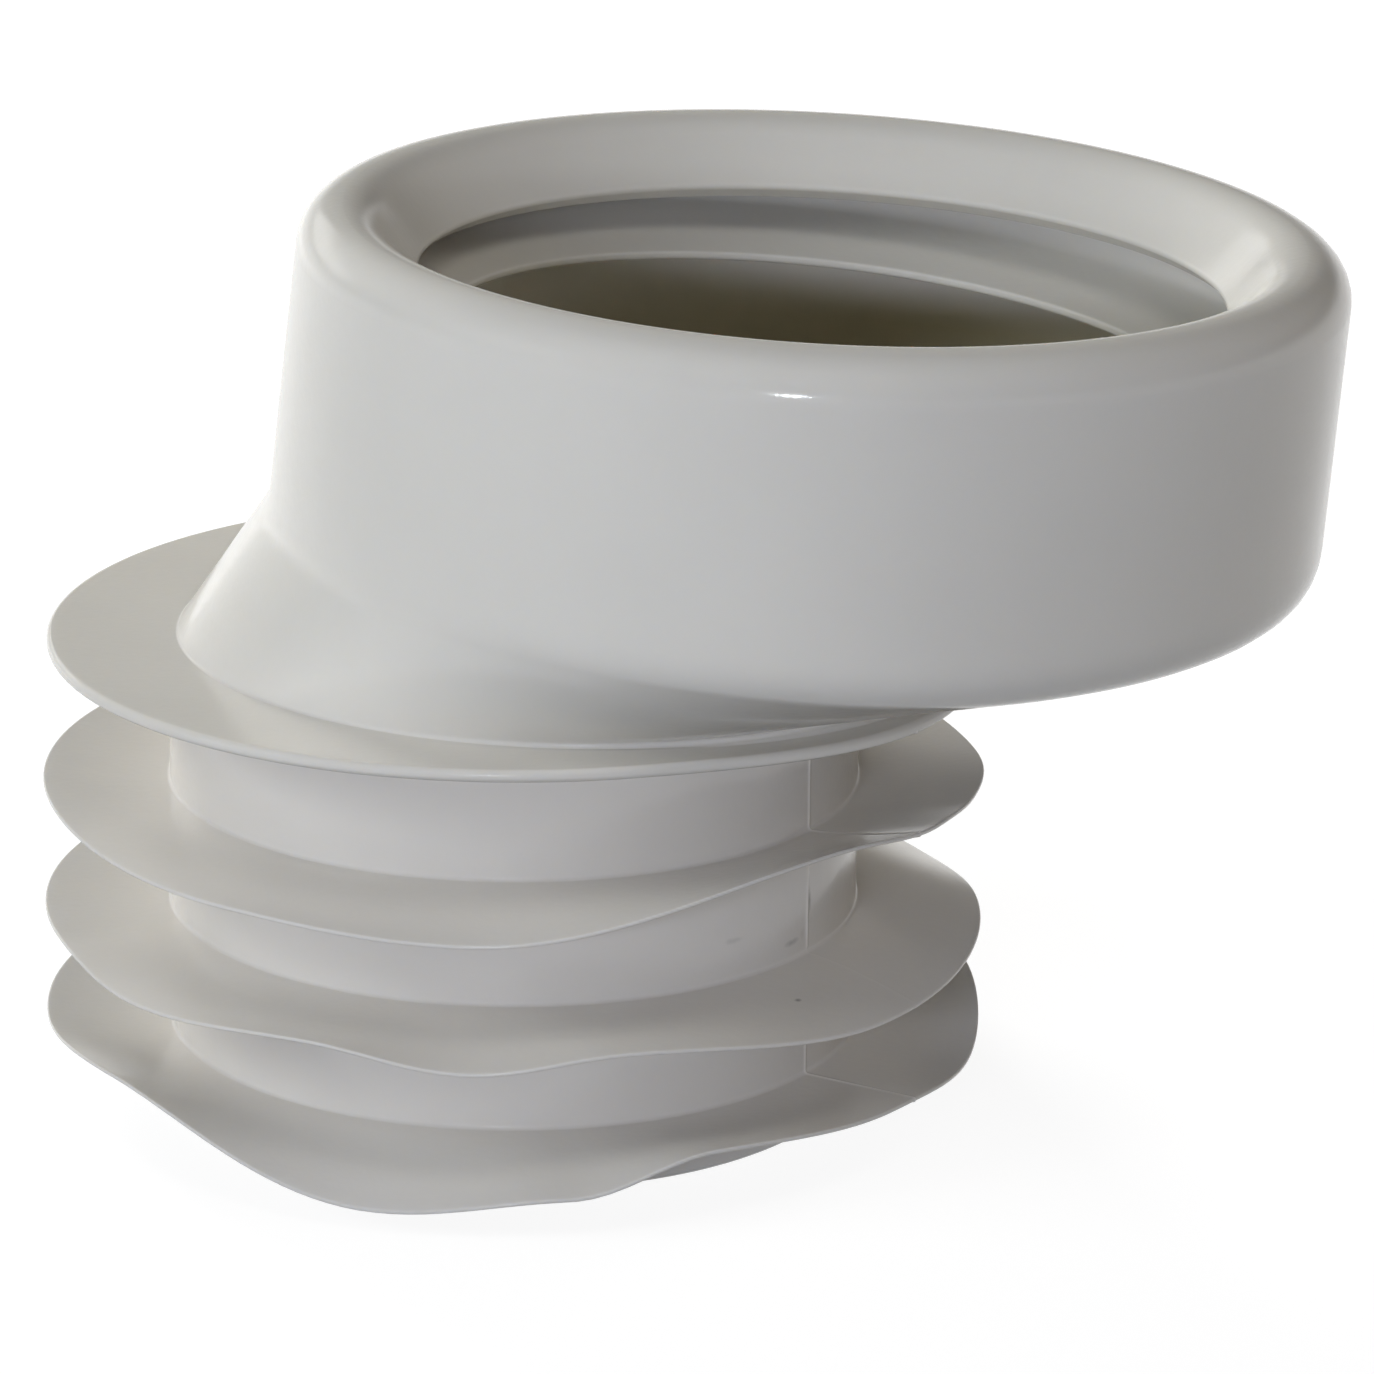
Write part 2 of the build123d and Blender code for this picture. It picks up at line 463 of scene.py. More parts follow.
    def second_lip(self) -> list[Corner]:
        """Corners round the thin second lip, from its root below to its root above."""
        tilt = np.radians(self.inner_lip_tilt)
        inside = self.radius - self.wall
        edge_depth = self.nose_depth() + self.lip_land + self.inner_lip_gap
        root_depth = edge_depth - self.inner_lip_rise
        sides = {}
        for sign, wall in ((-1, self.wall_left), (1, self.wall_right)):
            reach = sign * self.inner_lip_radius * np.cos(tilt)
            upper = edge_depth + sign * self.inner_lip_radius * np.sin(tilt)
            depth = root_depth + sign * inside * np.sin(tilt)
            sides[sign] = (
                wall(depth + self.inner_lip_thickness, inside),
                self.at(reach, upper + self.inner_lip_thickness),
                self.at(reach, upper),
                wall(depth, inside),
            )
        corners = zip(sides[-1], sides[1], self.inner_lip_rounds)
        return [Corner(left, right, rounding) for left, right, rounding in corners]

    def inside(self) -> list[Corner]:
        """Corners from the cup's floor up its wall and round both lips to the first lip's nose."""
        inside = self.radius - self.wall
        roll = self.rim_round - self.wall
        arc = roll * self.roll_fill[1]
        slope = np.tan(np.radians(self.lip_slope))
        bottom = self.nose_depth() + self.lip_land
        under_radius = self.lip_corner_radius(roll) - (bottom - self.wall) / slope
        floor_depth = self.wall_depth - self.wall - self.bottom_round * self.floor_share
        floor = (self.wall_left(self.wall_depth, inside), self.wall_right(floor_depth, inside))
        return [
            Corner(*floor, cuts=self.floor_cuts),
            *self.second_lip(),
            self.ring(inside, self.rim_round, self.wall_rounds[1]),
            self.ring(inside, self.wall, arc),
            self.ring(self.lip_corner_radius(roll), self.wall, arc),
            self.ring(under_radius, bottom, self.lip_edge_round),
        ]


@dataclass(frozen=True)
class PartingLine:
    """Fine flash line of the mould on the spigot and its fins.

    Attributes:
        angles: where the two halves of the mould met, in degrees about the spigot.
        height: how far the flash stands out.
        width: half the width of the flash along the surface.
        on_fins: share of the flash that is left on each fin, the lowest first.
        spread: degrees from a line at which extra grid columns resolve it.
        below_collar: how far below the collar's top a line ends.
        inside_tube: how far inside the tube's radius a ring still has the line.
        attribute: name of the mesh attribute that is one on the line and zero away from it.
    """

    angles: tuple[float, ...] = (-31.8, 148.2)
    height: float = 0.10
    width: float = 0.22
    on_fins: tuple[float, ...] = (1.0, 0.15, 1.0)
    spread: tuple[float, ...] = (0.13, 0.3, 0.55, 0.9)
    below_collar: float = 1.0
    inside_tube: float = 0.5
    attribute: str = "parting_line"

    def columns(self) -> np.ndarray:
        """Extra grid angles that resolve the line, in degrees."""
        aside = np.array(self.spread)
        near = np.concatenate([-aside[::-1], [0.0], aside])
        return (np.array(self.angles)[:, None] + near[None, :]).ravel()

    def share(self, radius: np.ndarray, angle: np.ndarray) -> np.ndarray:
        """Share of the flash's height.

        It is a bell curve of the distance along the surface from the nearest line.

        Args:
            radius: (s,) radii of the rings.
            angle: (t,) angles of the columns in degrees.

        Returns:
            (s, t) shares from nought to one.
        """
        turn = angle[:, None] - np.array(self.angles)[None, :]
        apart = np.abs((turn + 180.0) % 360.0 - 180.0).min(axis=1)
        across = radius[:, None] * np.radians(apart)[None, :]
        return np.exp(-((across / self.width) ** 2))


@dataclass(frozen=True)
class Scuff:
    """A small darker mark on the skin, an ellipsoid about a place on the spigot or a fin.

    Attributes:
        angle: degrees about the spigot.
        radius: distance from the spigot's axis.
        height: height above the spigot's end.
        size: half its extent round the spigot, outwards and upwards.
        tone: share of the plastic's colour that is left in its middle.
        edge: distances from its middle, in its own sizes, between which it fades.
    """

    angle: float
    radius: float
    height: float
    size: tuple[float, float, float]
    tone: float
    edge: Point = (0.7, 1.5)

    def tint(self, tree: Tree, place: Socket, ragged: Socket) -> Socket:
        """Socket that gives the share of the colour left by the mark.

        The place is moved, turned and scaled so that the ellipsoid is a ball of radius one. A
        ragged noise is added to the distance from its middle, and the share rises from the tone to
        one across the ball's edge.

        Args:
            tree: the material's nodes.
            place: object coordinates.
            ragged: a fine noise.

        Returns:
            The share, one away from the mark.
        """
        a = np.radians(self.angle)
        ball = tree.nodes.new("ShaderNodeMapping")
        ball.vector_type = "TEXTURE"
        middle = np.array((self.radius * np.cos(a), self.radius * np.sin(a), self.height))
        ball.inputs["Location"].default_value = tuple(middle * METRES_PER_MM)
        ball.inputs["Rotation"].default_value = (0.0, 0.0, a + np.pi / 2)
        ball.inputs["Scale"].default_value = tuple(np.array(self.size) * METRES_PER_MM)
        tree.links.new(place, ball.inputs["Vector"])
        reach = tree.nodes.new("ShaderNodeVectorMath")
        reach.operation = "LENGTH"
        tree.links.new(ball.outputs["Vector"], reach.inputs[0])
        uneven = tree.nodes.new("ShaderNodeMath")
        uneven.operation = "ADD"
        tree.links.new(reach.outputs["Value"], uneven.inputs[0])
        tree.links.new(ragged, uneven.inputs[1])
        return carried(tree, uneven.outputs["Value"], self.edge, (self.tone, 1.0))


class FloorTone(Enum):
    """Tones that the floor and the world may take."""

    WHITE = (1.0, 1.0, 1.0, 1.0)
    PALE = (0.20, 0.20, 0.20, 1.0)


@dataclass(frozen=True)
class SoftPlastic:
    """Off-white soft plastic: smooth, soft gloss, faintly clouded, warmer below the collar, painted
    shade inside.

    Attributes:
        name: name of the material.
        upper: colour of the cup and neck.
        lower: colour of the spigot and its fins.
        painted_shade: colour of the way through, below the second lip.
        change: heights in metres between which the one colour passes into the other.
        roughness: lowest and highest roughness.
        clouding: lowest and highest share of the colour in its faint clouds.
        line_share: share of the colour on the parting line, where the flash looks a little lighter.
        cloud_scale: scale of the clouds, per metre.
        grain_scale: scale of the moulded grain, per metre.
        grain_depth: depth of the grain in metres.
        grain_strength: share of that depth that shows.
        noise_detail: finer layers in the clouds and the grain.
        noise_range: values of the noise that become the lowest and the highest share.
        refraction: index of refraction.
        translucence: share of the light that goes into the plastic and out again.
        light_reach: how far red, green and blue light goes in it, in metres.
        scuffs_and_nick_shade: small marks of handling; the first stands for a real nick, its darkness
            painted shade.
    """

    name: str = "soft_plastic_finish"
    upper: Colour = (0.715, 0.700, 0.650)
    lower: Colour = (0.715, 0.690, 0.645)
    painted_shade: Colour = (0.560, 0.520, 0.390)
    change: Point = (0.050, 0.062)
    roughness: Point = (0.12, 0.19)
    clouding: Point = (0.980, 1.015)
    line_share: float = 1.14
    cloud_scale: float = 34.0
    grain_scale: float = 900.0
    grain_depth: float = 0.00006
    grain_strength: float = 0.35
    noise_detail: float = 3.0
    noise_range: Point = (0.3, 0.7)
    refraction: float = 1.47
    translucence: float = 0.25
    light_reach: Colour = (0.0026, 0.0022, 0.0016)
    scuffs_and_nick_shade: tuple[Scuff, ...] = (
        # The first mark stands for a nick on the parting line: its darkness is painted shade of the
        # dent.
        Scuff(-31.2, 42.0, 29.9, (0.45, 1.2, 1.7), 0.66),
        Scuff(-50.2, 42.0, 28.4, (1.9, 1.2, 0.45), 0.87),
        Scuff(-36.3, 42.0, 25.6, (1.6, 1.2, 0.55), 0.72),
        Scuff(-33.2, 42.0, 26.1, (0.6, 1.2, 0.80), 0.92),
        Scuff(-46.0, 49.6, 22.2, (0.60, 0.42, 0.90), 0.50),
    )

    def noise(self, tree: Tree, place: Socket, scale: float) -> Socket:
        """Noise of this scale in object coordinates."""
        noise = tree.nodes.new("ShaderNodeTexNoise")
        noise.inputs["Scale"].default_value = scale
        noise.inputs["Detail"].default_value = self.noise_detail
        tree.links.new(place, noise.inputs["Vector"])
        return noise.outputs["Fac"]

    def colour(self, tree: Tree, place: Socket, shade_mask: Socket, shares: list[Socket]) -> Socket:
        """Colour by height, darkened to the painted shade low in the way through, times every share.

        Args:
            tree: the material's nodes.
            place: object coordinates.
            shade_mask: one deep inside the way through and zero outside.
            shares: shares of the colour that the clouds, the marks and the parting line leave.

        Returns:
            The colour.
        """
        split = tree.nodes.new("ShaderNodeSeparateXYZ")
        tree.links.new(place, split.inputs["Vector"])
        tone = tree.nodes.new("ShaderNodeMix")
        tone.data_type = "RGBA"
        tone.inputs["A"].default_value = (*self.lower, 1.0)
        tone.inputs["B"].default_value = (*self.upper, 1.0)
        above = carried(tree, split.outputs["Z"], self.change, (0.0, 1.0))
        tree.links.new(above, tone.inputs["Factor"])
        # Painted shade: low in the way through, the colour is mixed towards a darker, warmer one.
        inner = tree.nodes.new("ShaderNodeMix")
        inner.data_type = "RGBA"
        inner.inputs["B"].default_value = (*self.painted_shade, 1.0)
        tree.links.new(tone.outputs["Result"], inner.inputs["A"])
        tree.links.new(shade_mask, inner.inputs["Factor"])
        colour = inner.outputs["Result"]
        for share in shares:
            part = tree.nodes.new("ShaderNodeVectorMath")
            part.operation = "SCALE"
            tree.links.new(colour, part.inputs[0])
            tree.links.new(share, part.inputs["Scale"])
            colour = part.outputs["Vector"]
        return colour

    def material(self, line: str, painted_shade: str) -> bpy.types.Material:
        """Node material that reads Object coordinates and two attributes of the mesh.

        Args:
            line: name of the parting line's attribute.
            painted_shade: name of the attribute that holds the share of painted shade.

        Returns:
            The new material.
        """
        material = bpy.data.materials.new(self.name)
        material.use_nodes = True
        tree = material.node_tree
        shader = tree.nodes["Principled BSDF"]
        shader.inputs["IOR"].default_value = self.refraction
        shader.inputs["Subsurface Weight"].default_value = self.translucence
        shader.inputs["Subsurface Radius"].default_value = self.light_reach
        shader.inputs["Subsurface Scale"].default_value = 1.0
        place = tree.nodes.new("ShaderNodeTexCoord").outputs["Object"]
        cloud = self.noise(tree, place, self.cloud_scale)
        grain = self.noise(tree, place, self.grain_scale)
        flash = tree.nodes.new("ShaderNodeAttribute")
        flash.attribute_name = line
        # Share of painted shade, read from the mesh.
        shade_mask = tree.nodes.new("ShaderNodeAttribute")
        shade_mask.attribute_name = painted_shade
        shares = [
            carried(tree, cloud, self.noise_range, self.clouding),
            carried(tree, flash.outputs["Fac"], (0.0, 1.0), (1.0, self.line_share)),
        ]
        shares += [scuff.tint(tree, place, grain) for scuff in self.scuffs_and_nick_shade]
        colour = self.colour(tree, place, shade_mask.outputs["Fac"], shares)
        tree.links.new(colour, shader.inputs["Base Color"])
        sheen = carried(tree, cloud, self.noise_range, self.roughness)
        tree.links.new(sheen, shader.inputs["Roughness"])
        bump = tree.nodes.new("ShaderNodeBump")
        bump.inputs["Distance"].default_value = self.grain_depth
        bump.inputs["Strength"].default_value = self.grain_strength
        tree.links.new(grain, bump.inputs["Height"])
        tree.links.new(bump.outputs["Normal"], shader.inputs["Normal"])
        return material


@dataclass
class PanConnector:
    """The whole moulding: spigot, fins, collar, neck, cup and lips in one skin.

    Attributes:
        spigot: the outlet tube and its fins.
        collar: the flat disc above the fins and the foot of the neck.
        cup: the inlet cup with its rim and lips.
        flash: the mould's parting line.
        finish: the plastic.
        columns: even grid columns round the moulding.
        steps: spans in each rounded corner.
        runs: shares along each straight run at which it gets a grid ring.
        bend: power by which a fin's wave grows from its root to its tip.
        dim: heights in millimetres between which the way through passes into its painted shade.
        painted_shade: name of the mesh attribute with the share of painted shade, one low inside and
            zero outside.
        least_normal: length below which a normal isn't stretched to one.
    """

    spigot: OutletSpigot = field(default_factory=OutletSpigot)
    collar: Collar = field(default_factory=Collar)
    cup: InletCup = field(default_factory=InletCup)
    flash: PartingLine = field(default_factory=PartingLine)
    finish: SoftPlastic = field(default_factory=SoftPlastic)
    columns: int = 182
    steps: int = 7
    runs: tuple[float, ...] = (0.03, 0.14, 0.36, 0.64, 0.86, 0.97)
    bend: float = 1.5
    dim: Point = (85.0, 80.0)
    painted_shade: str = "painted_shade_share"
    least_normal: float = 1e-9

    def corners(self) -> list[Corner]:
        """All corners of the section, once round the skin."""
        bore_top = self.collar.top - self.collar.root
        return [
            *self.cup.outside(),
            *self.collar.outside(self.spigot.radius, self.spigot.root_round, len(self.spigot.waves)),
            *self.spigot.outside(),
            *self.spigot.inside(bore_top),
            *self.cup.inside(),
        ]

    def section(self, corners: list[Corner]) -> tuple[np.ndarray, np.ndarray, np.ndarray]:
        """The rounded section on both sides.

        Args:
            corners: all corners in order.

        Returns:
            (s, 2) left points, (s, 2) right points and (s,) numbers of the soft discs, or NO_DISC.
        """
        radii = np.array([c.radius for c in corners])
        cuts = np.array([c.cuts or (np.nan, np.nan) for c in corners])
        runs = np.array(self.runs)
        lefts = np.array([c.left for c in corners])
        rights = np.array([c.right for c in corners])
        left = rounded_loop(lefts, radii, cuts[:, 0], self.steps, runs)
        right = rounded_loop(rights, radii, cuts[:, 1], self.steps, runs)
        disc = np.array([[c.disc] * (self.steps + 1) + [c.run] * len(runs) for c in corners])
        return left, right, disc.ravel()

    def lift(self, disc: int, x: np.ndarray, y: np.ndarray) -> np.ndarray:
        """Lift of a soft disc.

        It is the disc's wave at that angle, times the reach from root to tip to the power of the
        bend.

        Args:
            disc: number of the disc, the collar last.
            x: places along X.
            y: places along Y.

        Returns:
            Lifts in millimetres.
        """
        wave = (*self.spigot.waves, self.collar.wave)[disc]
        tip = (*[self.spigot.fin_radius] * len(self.spigot.waves), self.collar.radius)[disc]
        root = self.spigot.radius
        reach = np.clip((np.hypot(x, y) - root) / (tip - root), 0.0, 1.0)
        return wave_height(wave, np.degrees(np.arctan2(y, x))) * reach**self.bend

    def pull(self, count: int, number: int) -> np.ndarray:
        """Share of one corner's shift that each ring takes.

        It grows along the run before the corner, is one in the corner's curve and fades along the
        run after it.

        Args:
            count: how many corners the section has.
            number: number of the corner.

        Returns:
            (s,) shares.
        """
        runs = np.array(self.runs)
        share = np.zeros((count, self.steps + 1 + len(runs)))
        share[number - 1, self.steps + 1 :] = runs
        share[number, : self.steps + 1] = 1.0
        share[number, self.steps + 1 :] = 1.0 - runs
        return share.ravel()

    def hang(self, left: np.ndarray, right: np.ndarray, angle: np.ndarray) -> np.ndarray:
        """Round rings hung between the section's left and right points.

        A ring's point is the middle of its left and right points, plus half the way from left to
        right times the cosine of the angle, plus the ring's radius times the sine along Y.

        Args:
            left: (s, 2) left points.
            right: (s, 2) right points.
            angle: (t,) angles in radians.

        Returns:
            (s, t, 3) points.
        """
        middle, half = (left + right) / 2, (right - left) / 2
        radius = np.linalg.norm(half, axis=1)
        x = middle[:, :1] + half[:, :1] * np.cos(angle)
        y = radius[:, None] * np.sin(angle)
        z = middle[:, 1:] + half[:, 1:] * np.cos(angle)
        return np.stack([x, y, z], axis=-1)

    def shaped(self, points: np.ndarray, disc: np.ndarray, angle: np.ndarray) -> np.ndarray:
        """Rings with the crease, the neck's foot and the soft discs given their true forms.

        The crease's lift is bent from an even tilt to its own curve. The foot is squashed along Y
        and drawn in to where it meets the dipping collar, and each soft disc is lifted by its wave.

        Args:
            points: (s, t, 3) points of the round rings.
            disc: (s,) numbers of the soft discs.
            angle: (t,) angles in radians.

        Returns:
            (s, t, 3) points of the skin.
        """
        count = len(self.corners())
        crease = len(self.cup.outside()) - 1
        points[..., 2] += self.pull(count, crease)[:, None] * self.cup.crease_rise(angle)
        foot = self.pull(count, crease + 1)[:, None]
        points[..., 1] *= 1.0 - self.collar.foot_squash * foot
        collar = len(self.spigot.waves)
        drawn = foot[..., None] * self.collar.drawn_in(angle, partial(self.lift, collar))
        drawn[disc == collar, :, 2] = 0.0
        points = points + drawn
        for number in range(collar + 1):
            rows = disc == number
            points[rows, :, 2] += self.lift(number, points[rows, :, 0], points[rows, :, 1])
        return points

    def normals(self, points: np.ndarray) -> np.ndarray:
        """Outward directions of length one: the cross product of the steps along and across."""
        along = np.roll(points, -1, axis=0) - np.roll(points, 1, axis=0)
        across = np.roll(points, -1, axis=1) - np.roll(points, 1, axis=1)
        normal = np.cross(along, across)
        length = np.linalg.norm(normal, axis=-1, keepdims=True)
        return normal / np.maximum(length, self.least_normal)

    def grid(self) -> tuple[np.ndarray, np.ndarray]:
        """The skin as points over the section and the angle round it.

        The parting line stands out along the skin's normal below the collar, as far as each fin
        has it left. The collar, and what is on no disc, have all of it.

        Returns:
            (s, t, 3) points in millimetres and (s, t) shares of the parting line.
        """
        left, right, disc = self.section(self.corners())
        even = np.arange(self.columns) * 360.0 / self.columns - 180.0
        angle = np.unique(np.round(np.concatenate([even, self.flash.columns()]), 4))
        turned = np.radians(angle)
        points = self.shaped(self.hang(left, right, turned), disc, turned)
        height = (left + right)[:, 1] / 2
        radius = np.linalg.norm((right - left) / 2, axis=1)
        below = height < self.collar.top - self.flash.below_collar
        outside = radius > self.spigot.radius - self.flash.inside_tube
        left_on = np.array((*self.flash.on_fins, 1.0, 1.0))[disc]
        line = self.flash.share(radius, angle) * ((below & outside) * left_on)[:, None]
        return points + self.normals(points) * (line * self.flash.height)[..., None], line

    def depth(self, points: np.ndarray) -> np.ndarray:
        """Share of painted shade at each point: nought at the lips and outside, one below the dim
        heights.

        Args:
            points: (s, t, 3) points of the skin.

        Returns:
            (s, t) shares.
        """
        per_corner = self.steps + 1 + len(self.runs)
        count = len(self.corners())
        last = count - len(self.cup.inside()) + 1
        first = last - 1 - len(self.spigot.inside(0.0))
        top, bottom = self.dim
        share = np.clip((top - points[..., 2]) / (top - bottom), 0.0, 1.0)
        share[: first * per_corner] = 0.0
        share[last * per_corner :] = 0.0
        return share

    def build(self) -> bpy.types.Object:
        """Mesh object of the skin, closed both ways round, with its faces outwards."""
        points, line = self.grid()
        rows, cols = points.shape[:2]
        number = np.arange(rows * cols).reshape(rows, cols)
        next_row, next_col = np.roll(number, -1, axis=0), np.roll(number, -1, axis=1)
        both = np.roll(next_row, -1, axis=1)
        quads = np.stack([number, next_row, both, next_col], axis=-1).reshape(-1, 4)
        mesh = bpy.data.meshes.new("pan_connector_skin")
        mesh.vertices.add(rows * cols)
        mesh.vertices.foreach_set("co", (points * METRES_PER_MM).ravel())
        mesh.loops.add(quads.size)
        mesh.loops.foreach_set("vertex_index", quads.ravel())
        mesh.polygons.add(len(quads))
        mesh.polygons.foreach_set("loop_start", np.arange(0, quads.size, 4))
        mesh.polygons.foreach_set("use_smooth", np.ones(len(quads), dtype=bool))
        mesh.update(calc_edges=True)
        # The second attribute is the share of painted shade in the way through.
        for name, share in ((self.flash.attribute, line), (self.painted_shade, self.depth(points))):
            mesh.attributes.new(name, "FLOAT", "POINT").data.foreach_set("value", share.ravel())
        mesh.validate()
        piece = bpy.data.objects.new("pan_connector_skin", mesh)
        bpy.context.scene.collection.objects.link(piece)
        return piece

    def dress(self, piece: bpy.types.Object) -> None:
        """Gives the skin its finish and its place in the frame."""
        material = self.finish.material(self.flash.attribute, self.painted_shade)
        piece.data.materials.append(material)
        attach(piece, "root")
        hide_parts("pan_connector")


@dataclass(frozen=True)
class Lamp:
    """A soft oblong lamp that looks at the middle of the moulding.

    Attributes:
        name: what the lamp is.
        azimuth: degrees round from the camera's side, to the right.
        elevation: degrees above the middle of the moulding.
        width: level side of the lamp, in metres.
        height: other side of the lamp.
        power: watts.
        colour: tint of its light.
        distance: from the middle of the moulding.
        mirrored: whether the lamp shows as a highlight in the gloss, or only sheds light.
    """

    name: str
    azimuth: float
    elevation: float
    width: float
    height: float
    power: float
    colour: Colour = (1.0, 1.0, 1.0)
    distance: float = 1.2
    mirrored: bool = False

    def light(self, target: Vector) -> bpy.types.Object:
        """Adds the lamp to the scene, turned towards the target.

        Args:
            target: the point it looks at.

        Returns:
            The lamp.
        """
        a, e = np.radians(self.azimuth), np.radians(self.elevation)
        away = Vector((np.sin(a) * np.cos(e), -np.cos(a) * np.cos(e), np.sin(e)))
        data = bpy.data.lights.new(self.name, "AREA")
        data.shape = "RECTANGLE"
        data.size = self.width
        data.size_y = self.height
        data.energy = self.power
        data.color = self.colour
        lamp = bpy.data.objects.new(self.name, data)
        lamp.location = target + away * self.distance
        lamp.rotation_mode = "QUATERNION"
        lamp.rotation_quaternion = (-away).to_track_quat("-Z", "Y")
        lamp.visible_glossy = self.mirrored
        bpy.context.scene.collection.objects.link(lamp)
        return lamp


@dataclass
class Studio:
    """Pale floor, soft light and a white surround.

    Attributes:
        lamps: the lamps, of which only the glints show in the gloss.
        ambient: strength of the even light from all round.
        zenith: how bright the surround looks overhead, where it is one at the horizon.
        dusk: upward share of a direction between which the surround passes from the one to the other.
        floor_size: side of the floor in metres.
        floor_gap: how far it lies below the moulding, in metres.
        floor_lift: how much white the floor adds for the camera, above the light that falls on it.
    """

    lamps: tuple[Lamp, ...] = (
        Lamp("back_window", -150.0, 20.0, 0.60, 0.40, 16.5, (1.0, 0.99, 0.96), 1.4),
        Lamp("left_window", -72.0, 24.0, 0.70, 0.50, 7.4, (0.96, 0.99, 1.0), 1.4),
        Lamp("camera_side", -14.0, 13.4, 0.50, 0.07, 6.4, (0.81, 0.85, 1.0), 1.4),
        Lamp("right_back", 128.0, 24.0, 0.60, 0.40, 2.5, (1.0, 0.93, 0.86), 1.4),
        Lamp("ceiling", 10.0, 64.0, 0.60, 0.40, 2.7, (1.0, 0.97, 0.92), 1.4),
        Lamp("right_fill", 70.0, 14.0, 0.60, 0.30, 1.3, (1.0, 0.92, 0.88), 1.4),
        Lamp("rim_glint", -145.0, 16.0, 0.90, 0.30, 0.7, distance=1.4, mirrored=True),
        Lamp("front_glint", -5.5, 6.5, 0.11, 0.04, 1.5, (0.90, 0.94, 1.0), mirrored=True),
    )
    ambient: float = 0.02
    zenith: float = 0.12
    dusk: Point = (-0.02, 0.14)
    floor_size: float = 8.0
    floor_gap: float = 0.0001
    floor_lift: float = 0.90

    def seen(self, tree: Tree) -> Socket:
        """Socket that is one for camera, glossy and transmitted rays and zero for all others."""
        path = tree.nodes.new("ShaderNodeLightPath")
        first = tree.nodes.new("ShaderNodeMath")
        first.operation = "MAXIMUM"
        second = tree.nodes.new("ShaderNodeMath")
        second.operation = "MAXIMUM"
        tree.links.new(path.outputs["Is Camera Ray"], first.inputs[0])
        tree.links.new(path.outputs["Is Glossy Ray"], first.inputs[1])
        tree.links.new(first.outputs["Value"], second.inputs[0])
        tree.links.new(path.outputs["Is Transmission Ray"], second.inputs[1])
        return second.outputs["Value"]

    def world(self) -> None:
        """Surround that looks white at the horizon and dimmer overhead, and sheds an even light."""
        world = bpy.data.worlds.new("white_surround")
        bpy.context.scene.world = world
        world.use_nodes = True
        tree = world.node_tree
        background = tree.nodes["Background"]
        background.inputs["Color"].default_value = FloorTone.WHITE.value
        place = tree.nodes.new("ShaderNodeTexCoord")
        split = tree.nodes.new("ShaderNodeSeparateXYZ")
        tree.links.new(place.outputs["Generated"], split.inputs["Vector"])
        look = carried(tree, split.outputs["Z"], self.dusk, (1.0, self.zenith))
        strength = tree.nodes.new("ShaderNodeMapRange")
        strength.inputs["To Min"].default_value = self.ambient
        tree.links.new(look, strength.inputs["To Max"])
        tree.links.new(self.seen(tree), strength.inputs["Value"])
        tree.links.new(strength.outputs["Result"], background.inputs["Strength"])

    def floor_material(self) -> bpy.types.Material:
        """Pale floor that takes the shadow, lifted to white for the camera."""
        material = bpy.data.materials.new("pale_floor")
        material.use_nodes = True
        tree = material.node_tree
        tree.nodes.remove(tree.nodes["Principled BSDF"])
        diffuse = tree.nodes.new("ShaderNodeBsdfDiffuse")
        diffuse.inputs["Color"].default_value = FloorTone.PALE.value
        lift = tree.nodes.new("ShaderNodeEmission")
        lift.inputs["Color"].default_value = FloorTone.WHITE.value
        strength = carried(tree, self.seen(tree), (0.0, 1.0), (0.0, self.floor_lift))
        tree.links.new(strength, lift.inputs["Strength"])
        both = tree.nodes.new("ShaderNodeAddShader")
        tree.links.new(diffuse.outputs["BSDF"], both.inputs[0])
        tree.links.new(lift.outputs["Emission"], both.inputs[1])
        tree.links.new(both.outputs["Shader"], tree.nodes["Material Output"].inputs["Surface"])
        return material

    def floor(self, height: float) -> bpy.types.Object:
        """Flat floor just under the moulding."""
        half = self.floor_size / 2
        mesh = bpy.data.meshes.new("studio_floor")
        signs = ((-1, -1), (1, -1), (1, 1), (-1, 1))
        corners = [(x * half, y * half, height) for x, y in signs]
        mesh.from_pydata(corners, [], [(0, 1, 2, 3)])
        mesh.materials.append(self.floor_material())
        floor = bpy.data.objects.new("studio_floor", mesh)
        bpy.context.scene.collection.objects.link(floor)
        floor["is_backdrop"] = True
        return floor

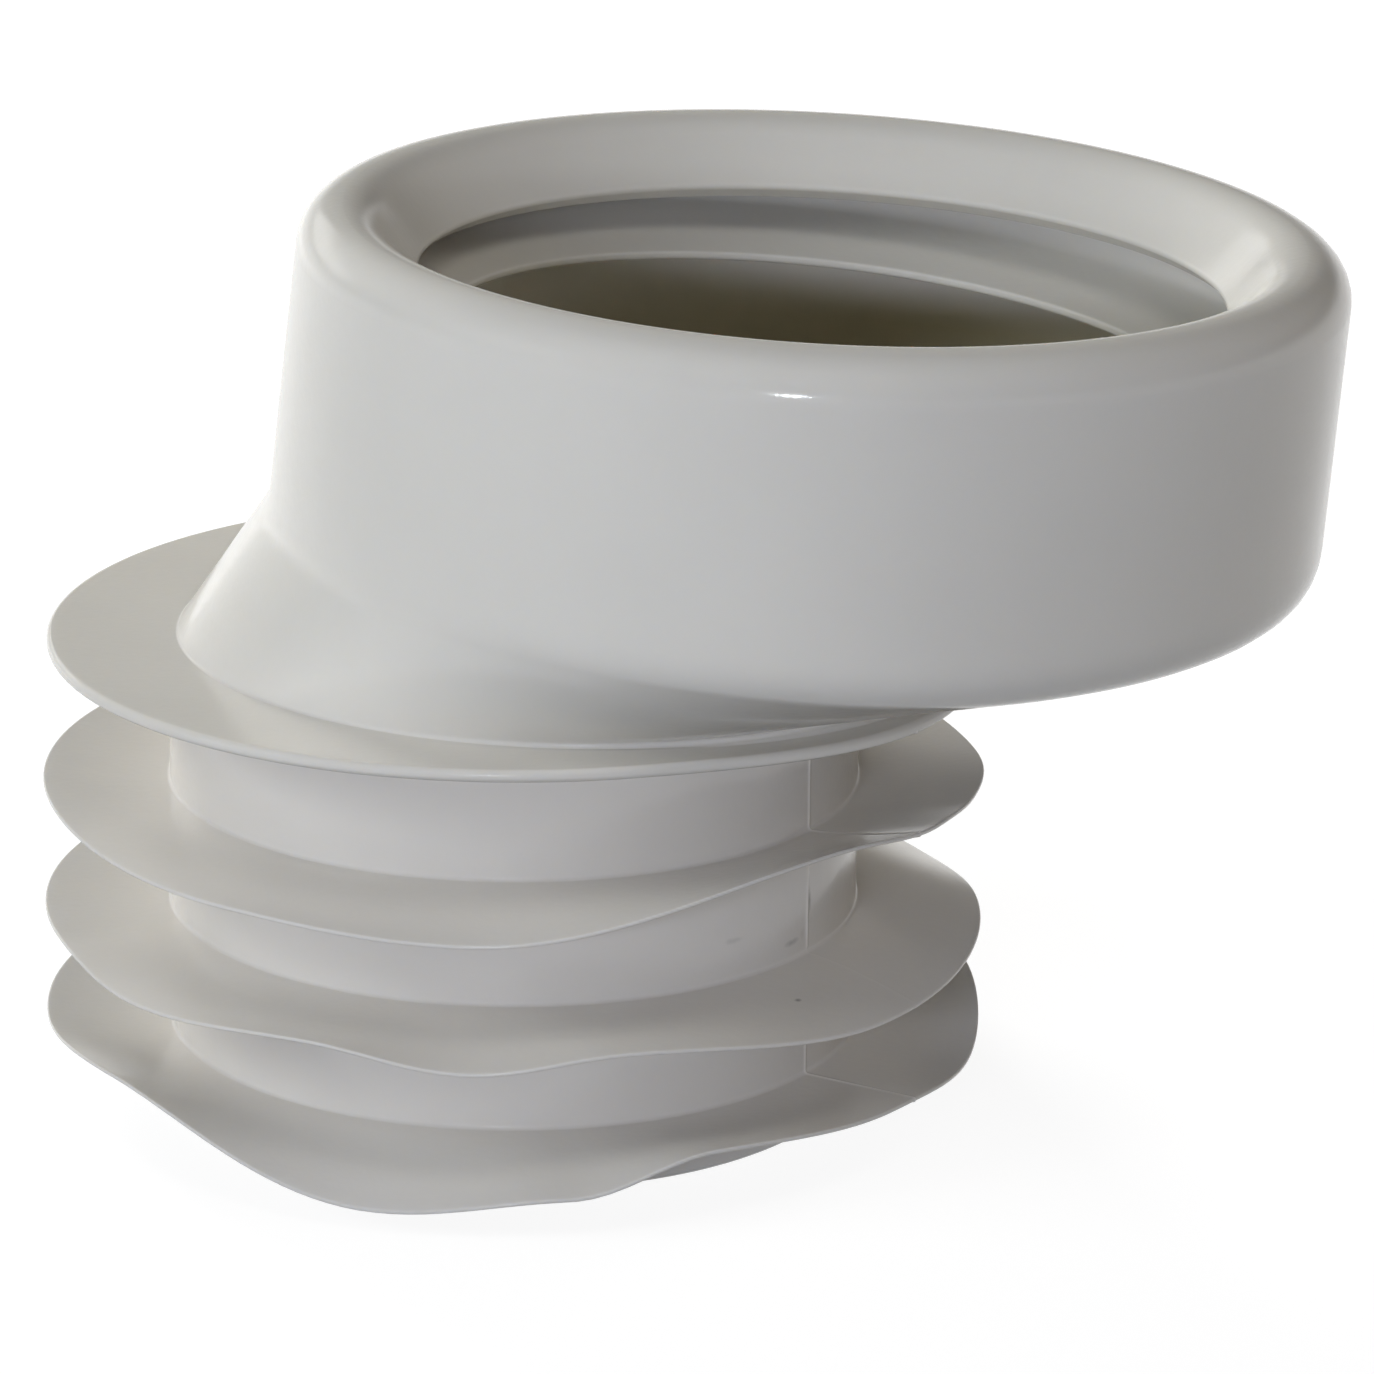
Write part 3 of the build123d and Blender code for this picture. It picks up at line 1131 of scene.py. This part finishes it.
    def build(self, low: Vector, high: Vector) -> None:
        """Sets up the world, the floor under the object and the lamps."""
        self.world()
        self.floor(low.z - self.floor_gap)
        for lamp in self.lamps:
            lamp.light((low + high) / 2)


@dataclass(frozen=True)
class PhotoCamera:
    """Camera at the photograph's view.

    Attributes:
        aim: point at the middle of the frame, in metres.
        distance: from the aim to the lens.
        elevation: degrees above the horizon.
        roll: degrees that the frame is turned.
        lens: focal length in millimetres.
        sensor_width: width of the sensor in millimetres.
        clip: nearest and farthest distance that is seen, in metres.
    """

    aim: tuple[float, float, float] = (0.02100, 0.0, 0.04959)
    distance: float = 0.86704
    elevation: float = 17.627
    roll: float = 0.614
    lens: float = 186.47
    sensor_width: float = 36.0
    clip: Point = (0.05, 20.0)

    def build(self) -> bpy.types.Object:
        """Adds the camera and makes it the scene's own.

        The back vector leans up by the elevation; right and up are turned about it by the roll.
        """
        e, r = np.radians(self.elevation), np.radians(self.roll)
        back = Vector((0.0, -np.cos(e), np.sin(e)))
        level_right = Vector((1.0, 0.0, 0.0))
        level_up = back.cross(level_right)
        right = level_right * np.cos(r) + level_up * np.sin(r)
        up = level_up * np.cos(r) - level_right * np.sin(r)
        data = bpy.data.cameras.new("photo_camera")
        data.lens = self.lens
        data.sensor_width = self.sensor_width
        data.clip_start, data.clip_end = self.clip
        camera = bpy.data.objects.new("photo_camera", data)
        turn = Matrix((right, up, back)).transposed()
        place = Matrix.Translation(Vector(self.aim) + back * self.distance)
        camera.matrix_world = place @ turn.to_4x4()
        bpy.context.scene.collection.objects.link(camera)
        bpy.context.scene.camera = camera
        return camera


def main() -> None:
    """Builds the moulding, the studio and the camera, and reports each piece."""
    logging.basicConfig(level=logging.INFO)
    bpy.context.scene.view_settings.view_transform = "Standard"
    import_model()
    cad_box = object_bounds()
    connector = PanConnector()
    skin = connector.build()
    connector.dress(skin)
    log.info("%s: %d faces", skin.name, len(skin.data.polygons))
    studio = Studio()
    studio.build(*cad_box)
    log.info("studio: floor and %d lamps", len(studio.lamps))
    camera = PhotoCamera().build()
    log.info("%s: lens %.1f mm", camera.name, camera.data.lens)


if __name__ == "__main__":
    main()
